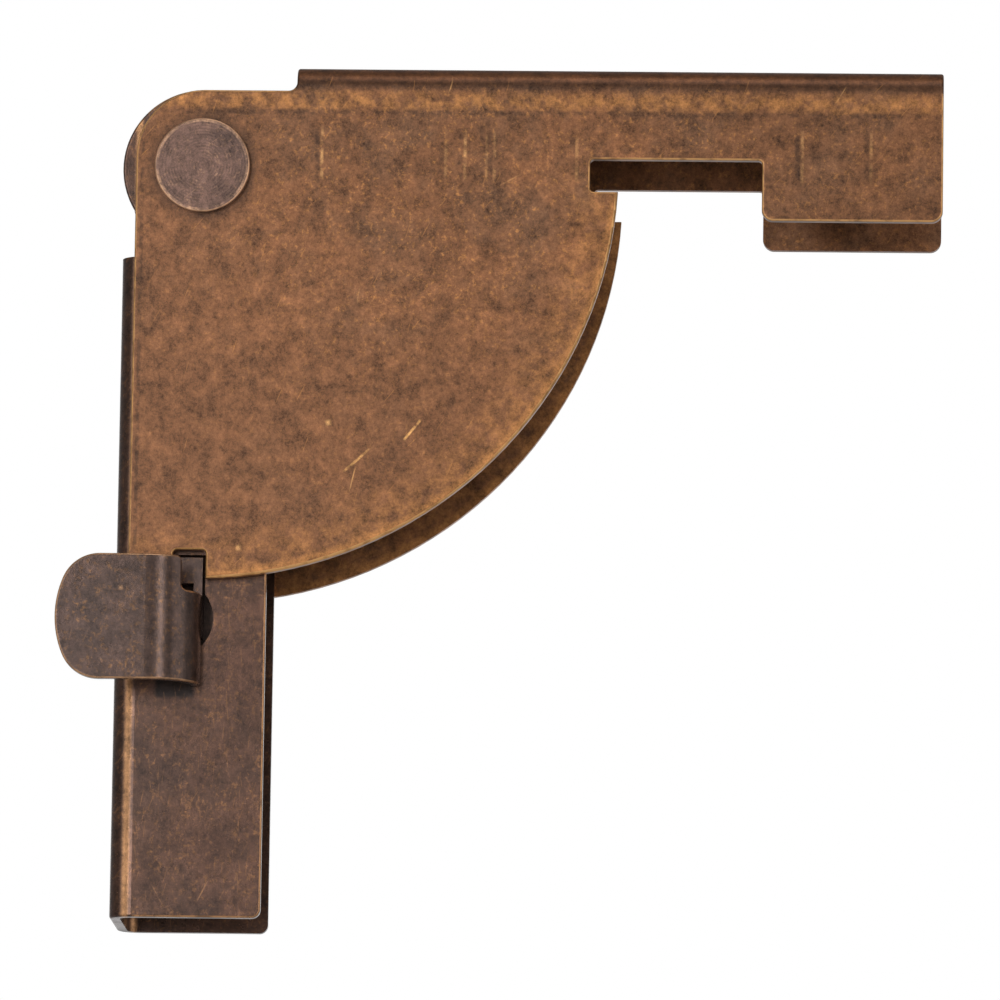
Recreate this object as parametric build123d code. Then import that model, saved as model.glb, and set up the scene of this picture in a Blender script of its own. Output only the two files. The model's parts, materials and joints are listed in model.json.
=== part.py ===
"""Folding table leg hinge: a folded bracket with quarter-round cheeks, a leg channel and a thumb latch.

Every piece is drawn in millimetres about the pivot: X runs along the bracket's arm, Y from the
front cheek to the rear one and Z up to the table top. The finished pieces are then moved so that
the origin is the middle of the two table screws, on the face that meets the table.
The leg stands open, and the latch is pressed in, so the leg is free to fold.
"""

import os

from build123d import *

# Rounded rim on the outer side of every blanked sheet edge
SHEET_EDGE = 0.35

# Leg channel
LEG_INNER_WIDTH = 18.0
LEG_SHEET = 1.5
LEG_BEND = 1.7
LEG_DEPTH = 21.1
LEG_BACK = 11.25
LEG_LENGTH = 105.2
LEG_WEB_START = 12.5
LEG_CORNER = 1.2
LEG_SCREW_HOLE = 4.5
LEG_SCREW_INSET = 10.0
LEG_SCREW_SPACING = 16.0

# Top bracket
SIDE_GAP = 0.5
BRACKET_SHEET = 1.5
BRACKET_BEND = 1.6
QUADRANT_RADIUS = 58.1
CHEEK_BACK = 9.3
CHEEK_TOP = 10.9
CHEEK_CORNER = 9.4
WEB_START = 13.0
WEB_HEIGHT = 14.5
WEB_STEP_RADIUS = 1.2
ARM_REACH = 103.3
ARM_DROP = 7.0
PAD_START = 78.1
PAD_CORNER = 1.6
TABLE_SCREW_HOLE = 4.5
TABLE_SCREW_INSET = 12.0

# Notches that the latch's tooth locks into
NOTCH_WIDTH = 4.6
NOTCH_DEPTH = 4.0
NOTCH_CORNER = 0.6
LOCK_OFFSET = 0.8

# Pivot
RIVET_SHANK = 6.0
RIVET_HEAD = 13.3
RIVET_HEAD_HEIGHT = 1.2
RIVET_HEAD_EDGE = 0.3
RUNNING_CLEARANCE = 0.06
SEAT_CLEARANCE = 0.02
SLEEVE_WALL = 1.5
WASHER_DIAMETER = 12.6

# Thumb latch
LATCH_SHEET = 1.2
LATCH_BEND = 6.2
LATCH_STAND_OFF = 7.6
TAB_REACH = 18.9
TAB_HEIGHT = 17.5
TAB_RISE = 3.05
TAB_CORNER = 5.5
TAB_BULGE = 3.1
TOOTH_GAP_SIDE = 1.0
TOOTH_GAP_DROP = 1.6
TOOTH_GAP_CORNER = 0.7
TOOTH_WIDTH = 3.6
TOOTH_THICKNESS = 1.9
TOOTH_TIP_CLEARANCE = 0.9
ARC_CLEARANCE = 0.5
FACE_CLEARANCE = 0.3
STEM_HEIGHT = 5.0
STEM_SHOULDER = 0.8
LATCH_TRAVEL = 1.9

# Window in the leg's front flange that the latch passes through, with its drop below the arc
WINDOW_RADIUS = 5.4
WINDOW_DROP = 5.4
WINDOW_OFFSET = 2.8
WINDOW_SIDE_CLEARANCE = 0.4

# Latch foot and its leaf spring
FOOT_SHEET = 1.0
FOOT_WIDTH = 11.2
FOOT_HEIGHT = 13.0
FOOT_CORNER = 1.5
TENON_PROUD = 0.4
LEAF_SHEET = 0.6
LEAF_WIDTH = 9.0
LEAF_SEAT_TOP = 26.0
LEAF_SEAT_BOTTOM = 38.0
LEAF_TIP_LENGTH = 5.0
LEAF_BEND = 8.0

# Faces that several pieces share, measured from the middle plane or the pivot
leg_edge = LEG_DEPTH - LEG_BACK
flange_inner = LEG_INNER_WIDTH / 2
flange_outer = flange_inner + LEG_SHEET
cheek_inner = flange_outer + SIDE_GAP
cheek_outer = cheek_inner + BRACKET_SHEET
notch_near = -LOCK_OFFSET - NOTCH_WIDTH / 2
notch_far = -LOCK_OFFSET + NOTCH_WIDTH / 2
notch_floor = QUADRANT_RADIUS - NOTCH_DEPTH
arc_limit = QUADRANT_RADIUS + ARC_CLEARANCE

# Latch, pressed in: its tooth lies just behind the front cheek
tooth_front = -(cheek_inner - FACE_CLEARANCE)
tooth_back = tooth_front + TOOTH_THICKNESS
tooth_tip = -(notch_floor + TOOTH_TIP_CLEARANCE)
latch_back = -(flange_outer + FACE_CLEARANCE)
latch_front = latch_back - LATCH_STAND_OFF
latch_right = TOOTH_WIDTH / 2 - LOCK_OFFSET
tooth_left = latch_right - TOOTH_WIDTH
bend_outer = LATCH_BEND + LATCH_SHEET
bend_x = latch_right - bend_outer
bend_y = latch_front + bend_outer
tab_top = -(arc_limit - TAB_RISE)
tab_bottom = tab_top - TAB_HEIGHT
stem_middle = -(QUADRANT_RADIUS + WINDOW_DROP)
foot_front = -(flange_inner - LATCH_TRAVEL)
foot_back = foot_front + FOOT_SHEET
tenon_end = foot_back + TENON_PROUD


def span(x_low, x_high, z_low, z_high):
    """Rectangle between two limits along each axis of a sketch."""
    middle = Pos((x_low + x_high) / 2, (z_low + z_high) / 2)
    return middle * Rectangle(x_high - x_low, z_high - z_low)


def round_corner(sketch, x, z, radius):
    """Round the corner of a sketch that lies nearest to a point."""
    corner = sketch.vertices().sort_by_distance((x, z))[0]
    return fillet(corner, radius)


def slab(sketch, y_low, y_high):
    """Extrude a side-view sketch between two depths."""
    return extrude(Plane.XZ.offset(-y_high) * sketch, amount=y_high - y_low)


def rims_at(solid, y):
    """Edges of a solid that lie in its side face at a depth."""
    return solid.edges().filter_by_position(Axis.Y, y - SEAT_CLEARANCE, y + SEAT_CLEARANCE)


def cross_rod(diameter, y_low, y_high):
    """Round bar about the pivot axis."""
    return slab(Circle(diameter / 2), y_low, y_high)


def channel_section(width, depth, sheet, bend):
    """U-section of folded sheet: its web lies along the top, its flanges run down."""
    outer = Rectangle(width, depth, align=(Align.CENTER, Align.MAX))
    outer = fillet(outer.vertices().group_by(Axis.Y)[-1], bend + sheet)
    inner = Rectangle(width - 2 * sheet, depth, align=(Align.CENTER, Align.MAX))
    inner = fillet(inner.vertices().group_by(Axis.Y)[-1], bend)
    return outer - Pos(0, -sheet) * inner


def bracket_outline():
    """Side view of the bracket: quarter-round cheek, straight arm and end pad."""
    cheek = span(-CHEEK_BACK, QUADRANT_RADIUS, -QUADRANT_RADIUS, CHEEK_TOP)
    quadrant = Circle(QUADRANT_RADIUS) & round_corner(cheek, -CHEEK_BACK, CHEEK_TOP, CHEEK_CORNER)
    notch = Pos(-LOCK_OFFSET, -QUADRANT_RADIUS) * Rectangle(NOTCH_WIDTH, 2 * NOTCH_DEPTH)
    quadrant -= [notch, Rot(0, 0, 90) * notch]

    arm = span(WEB_START, ARM_REACH, -ARM_DROP, WEB_HEIGHT)
    arm -= span(notch_floor, PAD_START, -2 * ARM_DROP, notch_far)
    outline = quadrant + arm
    outline = round_corner(outline, WEB_START, CHEEK_TOP, WEB_STEP_RADIUS)
    for x in (PAD_START, ARM_REACH):
        outline = round_corner(outline, x, -ARM_DROP, PAD_CORNER)
    outline = round_corner(outline, PAD_START, notch_far, NOTCH_CORNER)
    for side in (notch_near, notch_far):
        outline = round_corner(outline, side, -notch_floor, NOTCH_CORNER)
        outline = round_corner(outline, notch_floor, side, NOTCH_CORNER)
    return outline


def table_screw_places():
    """Places of the table screws along the arm."""
    return WEB_START + TABLE_SCREW_INSET, ARM_REACH - TABLE_SCREW_INSET


def top_bracket():
    """One sheet folded to a U, its web against the table and its two cheeks cut to one outline."""
    section = channel_section(2 * cheek_outer, WEB_HEIGHT + QUADRANT_RADIUS, BRACKET_SHEET, BRACKET_BEND)
    start = Plane.YZ.offset(-CHEEK_BACK) * Pos(0, WEB_HEIGHT)
    folded = extrude(start * section, amount=CHEEK_BACK + ARM_REACH)
    bracket = folded & slab(bracket_outline(), -cheek_outer, cheek_outer)
    bracket = fillet(rims_at(bracket, -cheek_outer) + rims_at(bracket, cheek_outer), SHEET_EDGE)
    bracket -= cross_rod(RIVET_SHANK + 2 * SEAT_CLEARANCE, -cheek_outer, cheek_outer)
    for x in table_screw_places():
        bracket -= Pos(x, 0, WEB_HEIGHT) * Cylinder(TABLE_SCREW_HOLE / 2, 2 * BRACKET_SHEET)
    return bracket


def latch_window():
    """Keyhole in the front flange: a round hole for the stem and a slot for the tooth."""
    slot_left = tooth_left - WINDOW_SIDE_CLEARANCE
    slot_right = latch_right + WINDOW_SIDE_CLEARANCE
    hole = Pos(-WINDOW_OFFSET, stem_middle) * Circle(WINDOW_RADIUS)
    return hole + span(slot_left, slot_right, stem_middle, tooth_tip + WINDOW_SIDE_CLEARANCE)


def leg_channel():
    """One sheet folded to a U, open towards the table's middle, with round heads on the rivet."""
    section = channel_section(2 * flange_outer, LEG_DEPTH, LEG_SHEET, LEG_BEND)
    end_plane = Plane((-LEG_BACK, 0, -LEG_LENGTH), x_dir=(0, 1, 0), z_dir=(0, 0, 1))
    leg = extrude(end_plane * section, amount=LEG_LENGTH - LEG_WEB_START)
    end = span(-LEG_BACK, leg_edge, -LEG_LENGTH, -LEG_WEB_START)
    leg &= slab(round_corner(end, leg_edge, -LEG_LENGTH, LEG_CORNER), -flange_outer, flange_outer)

    bend_start = -LEG_BACK + LEG_SHEET + LEG_BEND
    head = Circle(LEG_BACK) & span(-LEG_BACK, leg_edge, -LEG_BACK, LEG_BACK)
    head += span(bend_start, leg_edge, -LEG_WEB_START, 0)
    leg += [slab(head, -flange_outer, -flange_inner), slab(head, flange_inner, flange_outer)]
    rims = rims_at(leg, -flange_outer) + rims_at(leg, flange_outer)
    leg = fillet(rims.filter_by_position(Axis.X, bend_start + SHEET_EDGE, leg_edge), SHEET_EDGE)

    leg -= cross_rod(RIVET_SHANK + 2 * RUNNING_CLEARANCE, -flange_outer, flange_outer)
    leg -= slab(latch_window(), -flange_outer, -flange_inner)
    for rise in (LEG_SCREW_INSET, LEG_SCREW_INSET + LEG_SCREW_SPACING):
        hole = Cylinder(LEG_SCREW_HOLE / 2, 2 * LEG_SHEET)
        leg -= Pos(-LEG_BACK, 0, rise - LEG_LENGTH) * Rot(0, 90, 0) * hole
    return leg


def rivet_head(y_low, y_high, face):
    """Flat head whose outer rim is rounded."""
    head = cross_rod(RIVET_HEAD, y_low, y_high)
    rim = head.edges().filter_by(GeomType.CIRCLE).sort_by(Axis.Y)[face]
    return fillet(rim, RIVET_HEAD_EDGE)


def pivot_rivet():
    """Rivet through both cheeks and both flanges, headed at each end."""
    front_head = rivet_head(-cheek_outer - RIVET_HEAD_HEIGHT, -cheek_outer, 0)
    rear_head = rivet_head(cheek_outer, cheek_outer + RIVET_HEAD_HEIGHT, -1)
    return cross_rod(RIVET_SHANK, -cheek_outer, cheek_outer) + front_head + rear_head


def ring_on_rivet(diameter, y_low, y_high):
    """Tube or washer that turns on the rivet."""
    bore = cross_rod(RIVET_SHANK + 2 * RUNNING_CLEARANCE, y_low, y_high)
    return cross_rod(diameter, y_low, y_high) - bore


def pivot_sleeve():
    """Spacer tube that keeps the leg's flanges apart when the rivet is set."""
    diameter = RIVET_SHANK + 2 * RUNNING_CLEARANCE + 2 * SLEEVE_WALL
    end = flange_inner - SEAT_CLEARANCE
    return ring_on_rivet(diameter, -end, end)


def pivot_washer(side):
    """Thin washer between a flange and its cheek; side is -1 at the front and 1 at the rear."""
    faces = sorted((side * (flange_outer + SEAT_CLEARANCE), side * (cheek_inner - SEAT_CLEARANCE)))
    return ring_on_rivet(WASHER_DIAMETER, *faces)


def bent_strip():
    """Plan view of the latch: tab, quarter bend and the start of its web."""
    tab = span(-TAB_REACH, bend_x, latch_front, latch_front + LATCH_SHEET)
    bend = Circle(bend_outer) - Circle(LATCH_BEND)
    bend &= span(0, bend_outer, -bend_outer, 0)
    web = span(latch_right - LATCH_SHEET, latch_right, bend_y, latch_back)
    return tab + Pos(bend_x, bend_y) * bend + web


def tab_outline():
    """Front view of the tab: bulged at its free end, with a corner cut away to bare the tooth."""
    straight_end = -TAB_REACH + TAB_BULGE
    middle = (tab_top + tab_bottom) / 2
    edge = Polyline(
        (straight_end, tab_bottom), (latch_right, tab_bottom), (latch_right, tab_top), (straight_end, tab_top)
    )
    bulge = ThreePointArc((straight_end, tab_top), (-TAB_REACH, middle), (straight_end, tab_bottom))
    outline = make_face(edge + bulge)
    for z in (tab_top, tab_bottom):
        outline = round_corner(outline, straight_end, z, TAB_CORNER)
    gap_left = tooth_left + TOOTH_GAP_SIDE
    gap_bottom = -arc_limit - TOOTH_GAP_DROP
    outline -= span(gap_left, latch_right, gap_bottom, tab_top)
    for z in (tab_top, gap_bottom):
        outline = round_corner(outline, gap_left, z, TOOTH_GAP_CORNER)
    return outline


def bent_tab():
    """Thumb tab and its bend, with the outer rim rounded except where the flat, the bend and the web meet."""
    tab = extrude(Pos(0, 0, tab_bottom) * bent_strip(), amount=TAB_HEIGHT)
    tab &= slab(tab_outline(), latch_front, latch_back)
    flat = tab.faces().sort_by(Axis.Y)[0]
    bend = tab.faces().filter_by(GeomType.CYLINDER).sort_by(SortBy.AREA)[-1]
    rims = flat.edges() + bend.edges()
    for seam in (bend_x, latch_right):
        rims -= rims.filter_by_position(Axis.X, seam - SEAT_CLEARANCE, seam + SEAT_CLEARANCE)
    return fillet(rims, SHEET_EDGE)


def thumb_latch():
    """Bent sheet: the thumb tab, its web through the window, the tooth and the stem's tenon."""
    latch = bent_tab()
    stem_low = stem_middle - STEM_HEIGHT / 2
    stem_high = stem_middle + STEM_HEIGHT / 2
    web_left = latch_right - LATCH_SHEET
    latch += slab(span(web_left, latch_right, stem_low, stem_high), latch_back, foot_front)
    latch += slab(span(web_left, latch_right, stem_low, tooth_tip), tooth_front, tooth_back)
    latch += slab(span(tooth_left, latch_right, -arc_limit, tooth_tip), tooth_front, tooth_back)
    tenon = span(web_left, latch_right, stem_low + STEM_SHOULDER, stem_high - STEM_SHOULDER)
    return latch + slab(tenon, foot_front, tenon_end)


def latch_foot():
    """Plate peened onto the stem inside the channel, which stops the latch from coming out."""
    web_middle = latch_right - LATCH_SHEET / 2
    plate = Pos(web_middle, stem_middle) * RectangleRounded(FOOT_WIDTH, FOOT_HEIGHT, FOOT_CORNER)
    tenon_height = STEM_HEIGHT - 2 * STEM_SHOULDER + 2 * SEAT_CLEARANCE
    slot = Pos(web_middle, stem_middle) * Rectangle(LATCH_SHEET + 2 * SEAT_CLEARANCE, tenon_height)
    return slab(plate - slot, foot_front, foot_back)


def latch_spring():
    """Leaf spring on the rear flange's inner face, its free end against the latch's stem."""
    seat_y = flange_inner - LEAF_SHEET / 2
    tip_y = tenon_end + SEAT_CLEARANCE + LEAF_SHEET / 2
    tip_top = stem_middle + LEAF_TIP_LENGTH
    corners = [
        (seat_y, -LEAF_SEAT_TOP),
        (seat_y, -LEAF_SEAT_BOTTOM),
        (tip_y, tip_top),
        (tip_y, stem_middle - LEAF_TIP_LENGTH),
    ]
    leaf = trace(FilletPolyline(*corners, radius=LEAF_BEND), LEAF_SHEET)
    middle = latch_right - LATCH_SHEET / 2
    return extrude(Plane.YZ.offset(middle) * leaf, amount=LEAF_WIDTH / 2, both=True)


NODES = {
    "top_bracket": top_bracket(),
    "leg_channel": leg_channel(),
    "pivot_rivet": pivot_rivet(),
    "pivot_sleeve": pivot_sleeve(),
    "front_washer": pivot_washer(-1),
    "rear_washer": pivot_washer(1),
    "thumb_latch": thumb_latch(),
    "latch_foot": latch_foot(),
    "latch_spring": latch_spring(),
}

os.makedirs("parts", exist_ok=True)
table_middle = sum(table_screw_places()) / 2
for name, solid in NODES.items():
    export_step(solid.moved(Location((-table_middle, 0, -WEB_HEIGHT))), f"parts/{name}.step")
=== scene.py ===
"""Looks of a folding table leg hinge in antique bronze: plated finish, studio light and camera."""

import json
import math

import bpy
from mathutils import Matrix, Vector


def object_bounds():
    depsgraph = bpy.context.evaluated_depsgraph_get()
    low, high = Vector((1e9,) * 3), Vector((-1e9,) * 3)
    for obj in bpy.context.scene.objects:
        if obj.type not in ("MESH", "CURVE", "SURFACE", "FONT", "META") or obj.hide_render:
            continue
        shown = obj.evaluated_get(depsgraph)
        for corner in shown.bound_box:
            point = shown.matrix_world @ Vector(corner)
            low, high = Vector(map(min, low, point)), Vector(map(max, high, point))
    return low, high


MM = 0.001

# Camera: the photograph's view, from a little below and very slightly from the right
IMAGE_PIXELS = 1000
PIXELS_PER_MM = 7.142
VIEW_AZIMUTH = 2.03
VIEW_ELEVATION = -8.79
VIEW_ROLL = 0.87
VIEW_DISTANCE = 1413 * MM
VIEW_TARGET_FROM_PIVOT = Vector((41.80, 0, -44.82)) * MM
SENSOR_WIDTH = 36

# Studio: floor, background and soft boxes
FLOOR_DROP = 400 * MM
FLOOR_SIZE = 4.0
STUDIO_GREY = 0.25
BACKDROP_CONE = (0.20, 0.03)

# Places on the hinge, in mm from the pivot; three numbers are a band's middle, its reach and its core
BRACKET_BEND_FROM = 11.2
# Painted shade on the bracket's bend, and a darker painted line where the bend starts
BEND_SHADE_BAND = (14.0, 2.6, 1.6)
BEND_SHADE_LINE = (11.9, 1.2, 0.2)
LEG_BEND_TO = -7.9
# Copper worn on the leg's bend, partly a painted highlight
LEG_BEND_WEAR_AND_HIGHLIGHT = (-9.0, 0.75, 0.1)
# Painted shadow on the leg under the latch's bend
LATCH_SHADE = ((-2.6, 3.1, 2.3), (-73.3, 1.8, 0.9))
SPOT_RADIUS = 0.6
LATCH_SPOT = (-9.8, -60.4)
LATCH_SPOT_RADIUS = 0.5
BRACKET_SPOTS = ((6.0, -53.8), (18.2, -36.1))
# Gouges: place along and up, length, and angle to the bracket's length
GOUGES = ((22.4, -41.2, 5.7, 42), (29.9, -37.0, 4.0, 51))
# How far a gouge reaches to each side of its line
GOUGE_WIDTH = 0.26
GOUGE_TONE = "#eeb26c"
ARC_RADIUS = 58.1
ARC_RUB = (ARC_RADIUS, 9, 0.6)
# Copper worn along the arc's rim, partly a painted highlight of its lit edge
ARC_RIM_WEAR_AND_HIGHLIGHT = (ARC_RADIUS, 1.5, 0.5)
ARM_EDGE = 1.5
BRACKET_FRONT = -11.5
LEG_FRONT = -10.25
BACK_EDGE_LINE = (-8.4, 0.4, 0.1)
# Painted shade: darker at the back, the pad and the foot
BACK_SHADE = (-10, 34, 4)
PAD_SHADE = (96, 26, 12)
LOW_SHADE = (-50, 36, 14)
# Painted shade: a dark ring on the bracket around the rivet's head
RIVET_SHADE_HALO = (8.6, 6.6)
RIVET_RIM = (6.45, 0.45, 0.2)
RING_SPACING = 0.42
PRESS_LINE_ABOVE = (9.5, 1.8, 0.5)
PRESS_LINE_BELOW = (7.9, 0.6, 0.1)
SCUFF_BAND = (1.9, 4.2, 2.4)
# Scuffs of the folding tool: place along the bracket and strength
SCUFFS = ((16.0, 1), (33.3, 0.5), (36.0, 1), (39.0, 0.5), (40.1, 0.6), (51.6, 0.6), (83.0, 1), (92.6, 0.6))

# Grain of the finish: widths in mm of its patches, mottling, specks and relief
CLOUD_WIDTH = 26
PATCH_WIDTH = 10
UNEVEN_WIDTH = 2.4
MOTTLE_WIDTH = 2.2
RIM_BREAK_WIDTH = 2.0
SPECK_WIDTH = 0.6
FLECK_WIDTH = 0.5
GRAIN_WIDTH = 3
GRAIN_RANGE = (0.13, 1.53)
RELIEF_WIDTH = 0.7
RELIEF_DEPTH = 0.03 * MM
PLATING_METALLIC = 0.75
LACQUER_ROUGHNESS = 0.28
PATCH_DULLING = 0.1

# Soft boxes: name, degrees right of the front, degrees up, distance, width and height in m, brightness
SOFT_BOXES = (
    ("front_panel", 0, -4, 2.2, 1.6, 1.6, 0.30),
    ("left_strip", -18, 2, 1.4, 0.26, 1.2, 6.5),
    ("left_fill", -50, 5, 1.3, 0.6, 1.0, 1.3),
    ("right_strip", 28, 2, 1.4, 0.22, 1.2, 5.0),
    ("right_fill", 72, 5, 1.3, 0.8, 1.0, 0.9),
    ("top_box", 10, 62, 0.9, 0.5, 0.4, 2.0),
    ("low_fill", 5, -45, 0.9, 0.8, 0.3, 1.6),
)

# Tones of the finish on each piece, darkest in the grime and the painted shade and lightest on the worn
# rims; the bracket's bend tone is a painted shade
BRACKET_TONES = {
    "body": "#8c5d3d",
    "shade": "#795136",
    "oxide": "#674c39",
    "copper": "#b67c46",
    "rim": "#d6a166",
    "grime_and_shade": "#36271f",
    "bend": "#6b4024",
}
LEG_TONES = {
    "body": "#5f4234",
    "shade": "#543c30",
    "oxide": "#412f28",
    "copper": "#8a603d",
    "rim": "#bd8a5c",
    "grime_and_shade": "#231b19",
}
LATCH_TONES = {
    "body": "#57433b",
    "shade": "#523f38",
    "oxide": "#40332e",
    "copper": "#835d3b",
    "rim": "#bd906a",
    "grime_and_shade": "#231e1c",
}
RIVET_TONES = {
    "body": "#7d5f52",
    "shade": "#6f5449",
    "oxide": "#58453f",
    "copper": "#99745c",
    "rim": "#d3a581",
    "grime_and_shade": "#332723",
}
INNER_TONES = {
    "body": "#4a3a33",
    "shade": "#42342e",
    "oxide": "#382d29",
    "copper": "#5c473b",
    "rim": "#745a49",
    "grime_and_shade": "#261e1a",
}


def linear(hex_colour):
    """Turns an sRGB hex colour into the linear colour that a shader takes."""
    channels = [int(hex_colour[i : i + 2], 16) / 255 for i in (1, 3, 5)]
    curve = [c / 12.92 if c <= 0.04045 else ((c + 0.055) / 1.055) ** 2.4 for c in channels]
    return (*curve, 1)


def link(tree, source, node, key):
    """Links a node's first output in use, or an output socket, to a node's input in use."""
    if isinstance(source, bpy.types.Node):
        source = next(s for s in source.outputs if s.enabled)
    named = [s for s in node.inputs if s.enabled and s.name == key]
    tree.links.new(source, named[0] if named else node.inputs[key])


def add(tree, kind, inputs=None, **settings):
    """Adds a node with its settings; inputs are values, or nodes and output sockets to link."""
    node = tree.nodes.new(kind)
    for name, value in settings.items():
        setattr(node, name, value)
    for key, value in (inputs or {}).items():
        if isinstance(value, (bpy.types.Node, bpy.types.NodeSocket)):
            link(tree, value, node, key)
        else:
            named = [s for s in node.inputs if s.enabled and s.name == key]
            (named[0] if named else node.inputs[key]).default_value = value
    return node


def new_material(name):
    """A material with its node tree and its shader."""
    material = bpy.data.materials.new(name)
    material.use_nodes = True
    tree = material.node_tree
    tree.nodes.clear()
    shader = add(tree, "ShaderNodeBsdfPrincipled")
    add(tree, "ShaderNodeOutputMaterial", {"Surface": shader})
    return material, tree, shader


def clouds(tree, place, size, low, high, detail=6):
    """Cloudy mask whose patches are about size mm wide, 0 below a low level of the noise and 1 above a
    high one."""
    noise = add(
        tree,
        "ShaderNodeTexNoise",
        {"Vector": place, "Scale": 1 / size, "Detail": detail, "Roughness": 0.6},
    )
    return add(
        tree,
        "ShaderNodeMapRange",
        {"Value": noise, "From Min": low, "From Max": high},
        interpolation_type="SMOOTHSTEP",
    )


def band(tree, value, middle, reach, core=0.0):
    """Mask that is 1 within core of a middle value and fades to 0 at its reach."""
    aside = add(tree, "ShaderNodeMath", {0: value, 1: middle}, operation="SUBTRACT")
    distance = add(tree, "ShaderNodeMath", {0: aside}, operation="ABSOLUTE")
    return add(
        tree,
        "ShaderNodeMapRange",
        {"Value": distance, "From Min": reach, "From Max": core},
        interpolation_type="SMOOTHSTEP",
    )


def product(tree, *masks):
    """Mask that is 1 only where all of these are."""
    result = masks[0]
    for mask in masks[1:]:
        result = add(tree, "ShaderNodeMath", {0: result, 1: mask}, operation="MULTIPLY")
    return result


def paint(tree, colour, tone, strength, *masks):
    """Lays a tone over a colour where all the masks are, as thickly as the strength says."""
    cover = product(tree, *masks, strength)
    return add(tree, "ShaderNodeMix", {"Factor": cover, "A": colour, "B": linear(tone)}, data_type="RGBA")


def spot(tree, axes, centre, radius):
    """Mask of a small round spot at a place seen from the front."""
    x, z = centre
    return product(tree, band(tree, axes["X"], x, radius), band(tree, axes["Z"], z, radius))


def gouge(tree, axes, centre, length, angle):
    """Mask of one straight gouge at a place seen from the front, at an angle to the bracket's length."""
    flat = add(tree, "ShaderNodeCombineXYZ", {"X": axes["X"], "Y": axes["Z"]})
    turned = add(
        tree,
        "ShaderNodeVectorRotate",
        {"Vector": flat, "Center": (*centre, 0), "Angle": math.radians(-angle)},
        rotation_type="Z_AXIS",
    )
    local = add(tree, "ShaderNodeSeparateXYZ", {"Vector": turned}).outputs
    x, z = centre
    thin = band(tree, local["Y"], z, GOUGE_WIDTH, 0.3 * GOUGE_WIDTH)
    return product(tree, thin, band(tree, local["X"], x, 0.5 * length, 0.35 * length))


def pivot_distance(tree, axes):
    """Distance from the pivot's axis in mm."""
    outward = add(tree, "ShaderNodeCombineXYZ", {"X": axes["X"], "Y": axes["Z"]})
    return add(tree, "ShaderNodeVectorMath", {0: outward}, operation="LENGTH")


def scratches(tree, axes, cell, length, width, angle, spread, share):
    """Straight hairline scratches in a share of the cells, at about an angle to the bracket's length.
    They are drawn about a pixel wide, wider than real hairlines, so that they show."""
    across = add(tree, "ShaderNodeMath", {0: axes["X"], 1: axes["Y"]}, operation="ADD")
    upward = add(tree, "ShaderNodeMath", {0: axes["Z"], 1: axes["Y"]}, operation="ADD")
    flat = add(tree, "ShaderNodeCombineXYZ", {"X": across, "Y": upward})
    cells = add(
        tree, "ShaderNodeTexVoronoi", {"Vector": flat, "Scale": 1 / cell}, voronoi_dimensions="2D"
    ).outputs
    chance = add(tree, "ShaderNodeSeparateColor", {"Color": cells["Color"]}).outputs
    from_middle = add(tree, "ShaderNodeVectorMath", {0: flat, 1: cells["Position"]}, operation="SUBTRACT")
    turn = add(
        tree,
        "ShaderNodeMapRange",
        {
            "Value": chance["Red"],
            "To Min": math.radians(spread - angle),
            "To Max": math.radians(-spread - angle),
        },
    )
    turned = add(
        tree, "ShaderNodeVectorRotate", {"Vector": from_middle, "Angle": turn}, rotation_type="Z_AXIS"
    )
    local = add(tree, "ShaderNodeSeparateXYZ", {"Vector": turned}).outputs
    thin = band(tree, local["Y"], 0, width, 0.3 * width)
    short = band(tree, local["X"], 0, 0.5 * length, 0.2 * length)
    chosen = add(tree, "ShaderNodeMath", {0: chance["Green"], 1: 1 - share}, operation="GREATER_THAN")
    return product(tree, thin, short, chosen)


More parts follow.
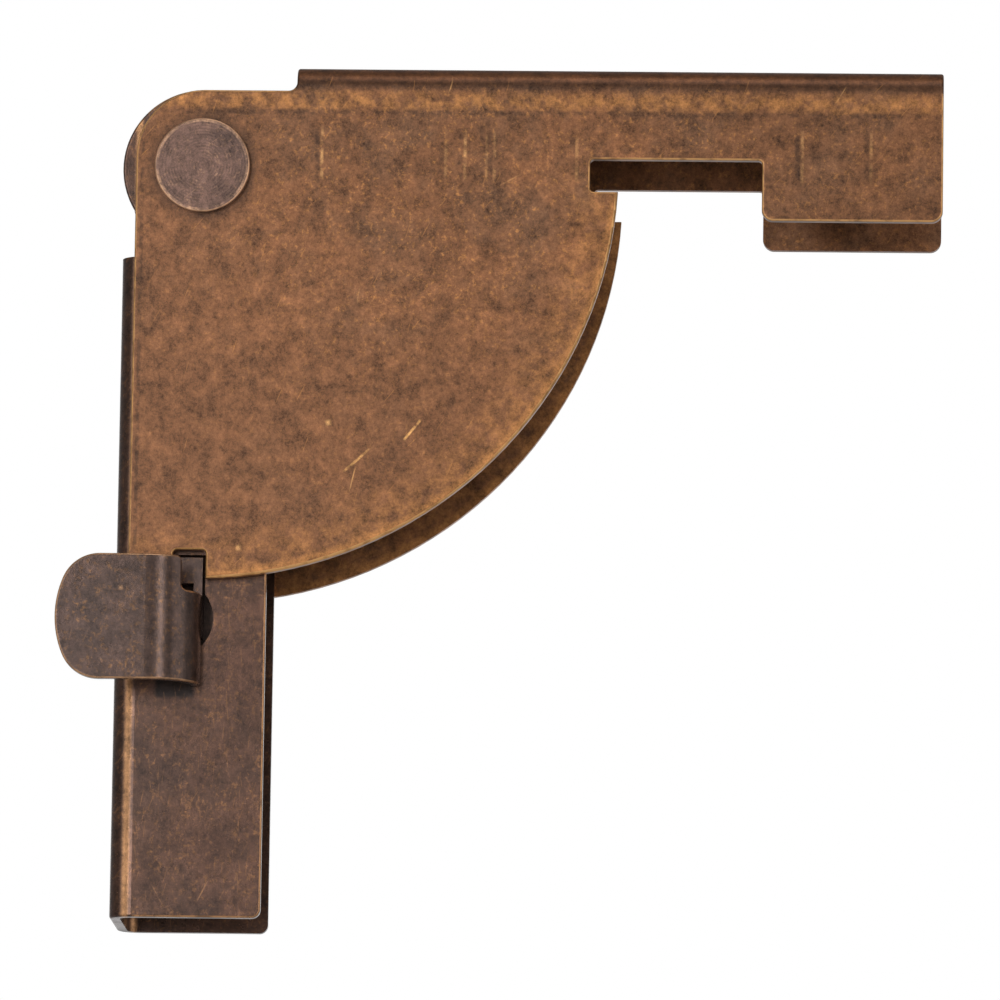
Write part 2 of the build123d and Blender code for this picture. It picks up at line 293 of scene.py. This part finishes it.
def antique_bronze(name, pivot, tones, roughness, lacquer, scratch_angle, rims, marks=None):
    """Bronze plating on steel, darkened chemically, tumbled and thinly lacquered: satin brown metal with
    fine speckled grain, grey-brown oxide patches, hairline scratches, copper showing through on the rims
    and a pale sheen from the lacquer. The function rims says where the worn rims are, and marks paints
    what only one piece has."""
    material, tree, shader = new_material(name)
    texture = add(tree, "ShaderNodeTexCoord").outputs
    place = add(
        tree,
        "ShaderNodeMapping",
        {"Vector": texture["Object"], "Location": -pivot / MM, "Scale": Vector((1, 1, 1)) / MM},
    )
    normal = add(tree, "ShaderNodeSeparateXYZ", {"Vector": texture["Normal"]}).outputs
    axes = add(tree, "ShaderNodeSeparateXYZ", {"Vector": place}).outputs

    patches = clouds(tree, place, PATCH_WIDTH, 0.44, 0.72)
    uneven = clouds(tree, place, UNEVEN_WIDTH, 0.35, 0.65)
    cloudy = clouds(tree, place, CLOUD_WIDTH, 0.40, 0.62, 4)
    mottled = clouds(tree, place, MOTTLE_WIDTH, 0.48, 0.75, 8)
    specks = clouds(tree, place, SPECK_WIDTH, 0.52, 0.70, 3)
    flecks = clouds(tree, place, FLECK_WIDTH, 0.58, 0.70, 2)
    colour = paint(tree, linear(tones["body"]), tones["shade"], 0.8, cloudy)
    colour = paint(tree, colour, tones["oxide"], 0.6, patches)
    colour = paint(tree, colour, tones["oxide"], 0.4, mottled)
    colour = paint(tree, colour, tones["copper"], 0.7, specks, uneven)
    colour = paint(tree, colour, tones["copper"], 0.7, flecks, uneven)
    if marks:
        colour = marks(tree, colour, place, axes, normal, tones)
    noise = add(
        tree,
        "ShaderNodeTexNoise",
        {"Vector": place, "Scale": 1 / GRAIN_WIDTH, "Detail": 6, "Roughness": 0.95},
    )
    darkest, lightest = GRAIN_RANGE
    grain = add(
        tree,
        "ShaderNodeMapRange",
        {"Value": noise, "From Min": 0.3, "From Max": 0.7, "To Min": darkest, "To Max": lightest},
    )
    colour = add(
        tree,
        "ShaderNodeMix",
        {"Factor": 1.0, "A": colour, "B": grain},
        data_type="RGBA",
        blend_type="MULTIPLY",
    )

    fine = scratches(
        tree, axes, cell=3.4, length=3.2, width=0.07, angle=scratch_angle, spread=18, share=0.30
    )
    deep = scratches(
        tree, axes, cell=14, length=4.0, width=0.12, angle=scratch_angle, spread=50, share=0.18
    )
    colour = paint(tree, colour, tones["copper"], 0.5, fine, uneven)
    colour = paint(tree, colour, tones["rim"], 0.5, deep, uneven)

    facing = add(tree, "ShaderNodeMath", {0: normal["Y"]}, operation="ABSOLUTE")
    tilted = band(tree, facing, 0.55, 0.44, 0.33)
    broken = add(
        tree,
        "ShaderNodeMapRange",
        {"Value": clouds(tree, place, RIM_BREAK_WIDTH, 0.35, 0.55), "To Min": 0.45, "To Max": 1.0},
    )
    colour = paint(tree, colour, tones["rim"], 1.0, tilted, broken, rims(tree, axes, normal))
    link(tree, colour, shader, "Base Color")

    shine = add(
        tree,
        "ShaderNodeMapRange",
        {"Value": patches, "To Min": roughness, "To Max": roughness + PATCH_DULLING},
    )
    link(tree, shine, shader, "Roughness")
    shader.inputs["Metallic"].default_value = PLATING_METALLIC
    shader.inputs["Coat Weight"].default_value = lacquer
    shader.inputs["Coat Roughness"].default_value = LACQUER_ROUGHNESS
    relief = clouds(tree, place, RELIEF_WIDTH, 0.2, 0.8, 4)
    bump = add(tree, "ShaderNodeBump", {"Height": relief, "Strength": 0.3, "Distance": RELIEF_DEPTH})
    link(tree, bump, shader, "Normal")
    return material


def bracket_marks(tree, colour, place, axes, normal, tones):
    """Marks of the bracket: painted shade at the back, the pad and the foot, copper rubbed free near the
    arc with a painted highlight along its rim, a painted shade around the rivet, a dark line inside the
    back edge, a painted shade on the bend, the line left by the press brake, the scuffs of the folding
    tool, two knocks and two gouges."""
    radius = pivot_distance(tree, axes)
    front = add(tree, "ShaderNodeMath", {0: axes["Y"], 1: BRACKET_FRONT}, operation="LESS_THAN")
    # painted shade: darker at the back, the pad and the foot
    colour = paint(tree, colour, tones["shade"], 0.6, band(tree, axes["X"], *BACK_SHADE))
    colour = paint(tree, colour, tones["shade"], 0.3, band(tree, axes["X"], *PAD_SHADE))
    colour = paint(tree, colour, tones["shade"], 0.6, band(tree, axes["Z"], *LOW_SHADE))
    for centre in BRACKET_SPOTS:
        colour = paint(tree, colour, tones["rim"], 0.9, spot(tree, axes, centre, SPOT_RADIUS), front)
    rubbed = clouds(tree, place, 1.8, 0.36, 0.62)
    below_arm = add(tree, "ShaderNodeMath", {0: axes["Z"], 1: ARM_EDGE}, operation="LESS_THAN")
    colour = paint(
        tree, colour, tones["copper"], 0.45, band(tree, radius, *ARC_RUB), rubbed, below_arm
    )
    # copper worn along the arc's rim, partly a painted highlight of its lit edge
    colour = paint(tree, colour, tones["copper"], 0.65, band(tree, radius, *ARC_RIM_WEAR_AND_HIGHLIGHT), below_arm)
    # painted shade: a dark ring on the bracket around the rivet's head
    colour = paint(tree, colour, tones["grime_and_shade"], 0.55, band(tree, radius, 0, *RIVET_SHADE_HALO))
    broken = clouds(tree, place, 1.6, 0.40, 0.58, 5)
    in_edge = band(tree, axes["X"], *BACK_EDGE_LINE)
    colour = paint(tree, colour, tones["grime_and_shade"], 0.55, in_edge, broken)
    # painted shade on the bracket's bend, and a darker painted line where the bend starts
    colour = paint(tree, colour, tones["bend"], 0.65, band(tree, axes["Z"], *BEND_SHADE_BAND))
    colour = paint(tree, colour, tones["grime_and_shade"], 0.55, band(tree, axes["Z"], *BEND_SHADE_LINE))

    upright = add(tree, "ShaderNodeMath", {0: normal["Y"]}, operation="ABSOLUTE")
    flat = add(tree, "ShaderNodeMath", {0: upright, 1: 0.98}, operation="GREATER_THAN")
    above = band(tree, axes["Z"], *PRESS_LINE_ABOVE)
    colour = paint(tree, colour, tones["copper"], 0.7, above, flat, rubbed)
    below = band(tree, axes["Z"], *PRESS_LINE_BELOW)
    colour = paint(tree, colour, tones["grime_and_shade"], 0.5, below, flat, broken)
    on_span = band(tree, axes["Z"], *SCUFF_BAND)
    for x, strength in SCUFFS:
        dark = band(tree, axes["X"], x, 0.55, 0.1)
        light = band(tree, axes["X"], x + 0.65, 0.35, 0.05)
        colour = paint(tree, colour, tones["grime_and_shade"], 0.65 * strength, dark, on_span, flat, broken)
        colour = paint(tree, colour, tones["rim"], 0.6 * strength, light, on_span, flat, rubbed)
    for x, z, length, angle in GOUGES:
        mark = gouge(tree, axes, (x, z), length, angle)
        colour = paint(tree, colour, GOUGE_TONE, 0.9, mark, rubbed, front)
    return colour


def leg_marks(tree, colour, place, axes, normal, tones):
    """Marks of the leg: its bend rubbed to copper with a painted highlight, a painted shadow under the
    latch and upright scratches.
    """
    broken = clouds(tree, place, 3.0, 0.30, 0.60)
    # copper worn on the leg's bend, partly a painted highlight
    colour = paint(tree, colour, tones["rim"], 0.75, band(tree, axes["X"], *LEG_BEND_WEAR_AND_HIGHLIGHT))
    # painted shadow on the leg under the latch's bend
    along, height = LATCH_SHADE
    front = add(tree, "ShaderNodeMath", {0: axes["Y"], 1: LEG_FRONT}, operation="LESS_THAN")
    latch_shadow_mask = product(tree, band(tree, axes["X"], *along), band(tree, axes["Z"], *height), front)
    colour = paint(tree, colour, tones["grime_and_shade"], 0.9, latch_shadow_mask)
    upright = scratches(tree, axes, cell=1.8, length=3.4, width=0.08, angle=84, spread=16, share=0.6)
    return paint(tree, colour, tones["copper"], 0.5, upright, broken)


def latch_marks(tree, colour, place, axes, normal, tones):
    """Mark of the latch: a small knock that has laid the copper bare."""
    return paint(tree, colour, tones["rim"], 0.9, spot(tree, axes, LATCH_SPOT, LATCH_SPOT_RADIUS))


def rivet_marks(tree, colour, place, axes, normal, tones):
    """Marks of the rivet: rings from the tool that upset its head, and its rim worn to copper."""
    radius = pivot_distance(tree, axes)
    turns = add(tree, "ShaderNodeMath", {0: radius, 1: 2 * math.pi / RING_SPACING}, operation="MULTIPLY")
    wave = add(tree, "ShaderNodeMath", {0: turns}, operation="SINE")
    ring = band(tree, wave, 1, 1.6, 0.2)
    broken = clouds(tree, place, 1.2, 0.35, 0.65, 5)
    colour = paint(tree, colour, tones["grime_and_shade"], 0.35, ring, broken)
    return paint(tree, colour, tones["rim"], 0.6, band(tree, radius, *RIVET_RIM), broken)


def bracket_rims(tree, axes, normal):
    """Rims of the bracket, below its bend."""
    return add(tree, "ShaderNodeMath", {0: axes["Z"], 1: BRACKET_BEND_FROM}, operation="LESS_THAN")


def leg_rims(tree, axes, normal):
    """Rims of the leg, right of its bend."""
    return add(tree, "ShaderNodeMath", {0: axes["X"], 1: LEG_BEND_TO}, operation="GREATER_THAN")


def latch_rims(tree, axes, normal):
    """Rims of the latch, which face up, down or left, as its bend doesn't."""
    tilt = add(tree, "ShaderNodeMath", {0: normal["Z"]}, operation="ABSOLUTE")
    left = add(tree, "ShaderNodeMath", {0: normal["X"], 1: -1.0}, operation="MULTIPLY")
    either = add(tree, "ShaderNodeMath", {0: tilt, 1: left}, operation="MAXIMUM")
    return add(tree, "ShaderNodeMath", {0: either, 1: 0.15}, operation="GREATER_THAN")


def all_rims(tree, axes, normal):
    """Rims all over, on pieces without bends."""
    return 1.0


def finish_nodes(nodes, pivot):
    """Gives every node of the hinge its finish."""
    bracket = antique_bronze(
        "antique_bronze_bracket",
        pivot,
        BRACKET_TONES,
        roughness=0.36,
        lacquer=0.1,
        scratch_angle=62,
        rims=bracket_rims,
        marks=bracket_marks,
    )
    leg = antique_bronze(
        "antique_bronze_leg",
        pivot,
        LEG_TONES,
        roughness=0.26,
        lacquer=0.25,
        scratch_angle=75,
        rims=leg_rims,
        marks=leg_marks,
    )
    latch = antique_bronze(
        "antique_bronze_latch",
        pivot,
        LATCH_TONES,
        roughness=0.26,
        lacquer=0.25,
        scratch_angle=70,
        rims=latch_rims,
        marks=latch_marks,
    )
    rivet = antique_bronze(
        "antique_bronze_rivet",
        pivot,
        RIVET_TONES,
        roughness=0.36,
        lacquer=0.2,
        scratch_angle=40,
        rims=all_rims,
        marks=rivet_marks,
    )
    inner = antique_bronze(
        "bronzed_inner_steel",
        pivot,
        INNER_TONES,
        roughness=0.42,
        lacquer=0.1,
        scratch_angle=60,
        rims=all_rims,
    )
    finishes = {
        "top_bracket": bracket,
        "leg_channel": leg,
        "pivot_rivet": rivet,
        "thumb_latch": latch,
        "pivot_sleeve": inner,
        "front_washer": inner,
        "rear_washer": inner,
        "latch_foot": inner,
        "latch_spring": inner,
    }
    for name, material in finishes.items():
        nodes[name].data.materials.clear()
        nodes[name].data.materials.append(material)


def add_floor(drop):
    """A plain pale floor below the hinge and out of the photograph's view."""
    bpy.ops.object.select_all(action="DESELECT")
    bpy.ops.mesh.primitive_plane_add(size=FLOOR_SIZE, location=(0, 0, drop))
    floor = bpy.context.object
    floor.name = "floor"
    material, tree, shader = new_material("pale_floor")
    shader.inputs["Base Color"].default_value = linear("#f2f2f2")
    shader.inputs["Roughness"].default_value = 0.9
    floor.data.materials.append(material)


def add_world():
    """White background for the camera and for what the metal reflects of it, grey studio elsewhere."""
    world = bpy.data.worlds.new("studio")
    bpy.context.scene.world = world
    world.use_nodes = True
    tree = world.node_tree
    tree.nodes.clear()
    path = add(tree, "ShaderNodeLightPath").outputs
    direction = add(tree, "ShaderNodeTexCoord").outputs["Generated"]
    along_view = add(tree, "ShaderNodeSeparateXYZ", {"Vector": direction}).outputs["Y"]
    behind = band(tree, along_view, 1, *BACKDROP_CONE)
    mirrored = product(tree, path["Is Glossy Ray"], behind)
    seen = add(
        tree,
        "ShaderNodeMath",
        {0: path["Is Camera Ray"], 1: path["Is Transmission Ray"]},
        operation="MAXIMUM",
    )
    white = add(tree, "ShaderNodeMath", {0: seen, 1: mirrored}, operation="MAXIMUM")
    strength = add(tree, "ShaderNodeMapRange", {"Value": white, "To Min": STUDIO_GREY, "To Max": 1.0})
    background = add(tree, "ShaderNodeBackground", {"Color": (1, 1, 1, 1), "Strength": strength})
    add(tree, "ShaderNodeOutputWorld", {"Surface": background})


def add_soft_box(name, middle, azimuth, elevation, distance, width, height, radiance):
    """An area lamp as a soft box aimed at the hinge, placed by its angles from the front and with its
    strength given as the brightness of its face."""
    lamp = bpy.data.lights.new(name, "AREA")
    lamp.shape = "RECTANGLE"
    lamp.size = width
    lamp.size_y = height
    lamp.energy = radiance * math.pi * width * height
    box = bpy.data.objects.new(name, lamp)
    bpy.context.scene.collection.objects.link(box)
    turn, lift = math.radians(azimuth), math.radians(elevation)
    towards = Vector((math.sin(turn) * math.cos(lift), -math.cos(turn) * math.cos(lift), math.sin(lift)))
    box.location = middle + distance * towards
    box.rotation_euler = (-towards).to_track_quat("-Z", "Y").to_euler()


def add_lights(middle):
    """A wide panel in front, a tall strip and a fill on each side, a box above and a fill below."""
    for name, *settings in SOFT_BOXES:
        add_soft_box(name, middle, *settings)


def add_camera(pivot):
    """The photograph's camera, from its angles, its distance and its scale on the hinge."""
    azimuth, elevation, roll = (math.radians(a) for a in (VIEW_AZIMUTH, VIEW_ELEVATION, VIEW_ROLL))
    forward = Vector(
        (
            -math.sin(azimuth) * math.cos(elevation),
            math.cos(azimuth) * math.cos(elevation),
            -math.sin(elevation),
        )
    )
    level = forward.cross(Vector((0, 0, 1))).normalized()
    upright = level.cross(forward)
    right = math.cos(roll) * level + math.sin(roll) * upright
    up = math.cos(roll) * upright - math.sin(roll) * level
    place = pivot + VIEW_TARGET_FROM_PIVOT - VIEW_DISTANCE * forward
    turn = Matrix((right, up, -forward)).transposed().to_4x4()
    data = bpy.data.cameras.new("photo_camera")
    data.sensor_width = SENSOR_WIDTH
    data.lens = PIXELS_PER_MM / MM * VIEW_DISTANCE / IMAGE_PIXELS * SENSOR_WIDTH
    camera = bpy.data.objects.new("photo_camera", data)
    camera.matrix_world = Matrix.Translation(place) @ turn
    bpy.context.scene.collection.objects.link(camera)
    bpy.context.scene.camera = camera


def corners(box):
    """A box as plain lists of numbers."""
    return [[float(c) for c in corner] for corner in box]


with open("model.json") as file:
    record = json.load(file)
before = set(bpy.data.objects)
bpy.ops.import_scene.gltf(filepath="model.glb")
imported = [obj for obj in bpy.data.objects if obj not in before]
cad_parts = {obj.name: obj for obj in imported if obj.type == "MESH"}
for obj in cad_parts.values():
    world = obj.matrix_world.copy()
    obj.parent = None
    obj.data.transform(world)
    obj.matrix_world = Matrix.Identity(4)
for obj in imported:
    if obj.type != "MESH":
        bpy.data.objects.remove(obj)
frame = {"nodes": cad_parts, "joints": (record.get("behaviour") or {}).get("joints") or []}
cad_box = corners(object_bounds())
leg_fold = next(joint for joint in frame["joints"] if joint["name"] == "leg_fold")
pivot = Vector(leg_fold["pos_m"])

bpy.context.scene.view_settings.view_transform = "Standard"
finish_nodes(frame["nodes"], pivot)
add_floor(cad_box[0][2] - FLOOR_DROP)
add_world()
add_lights(pivot + VIEW_TARGET_FROM_PIVOT)
add_camera(pivot)
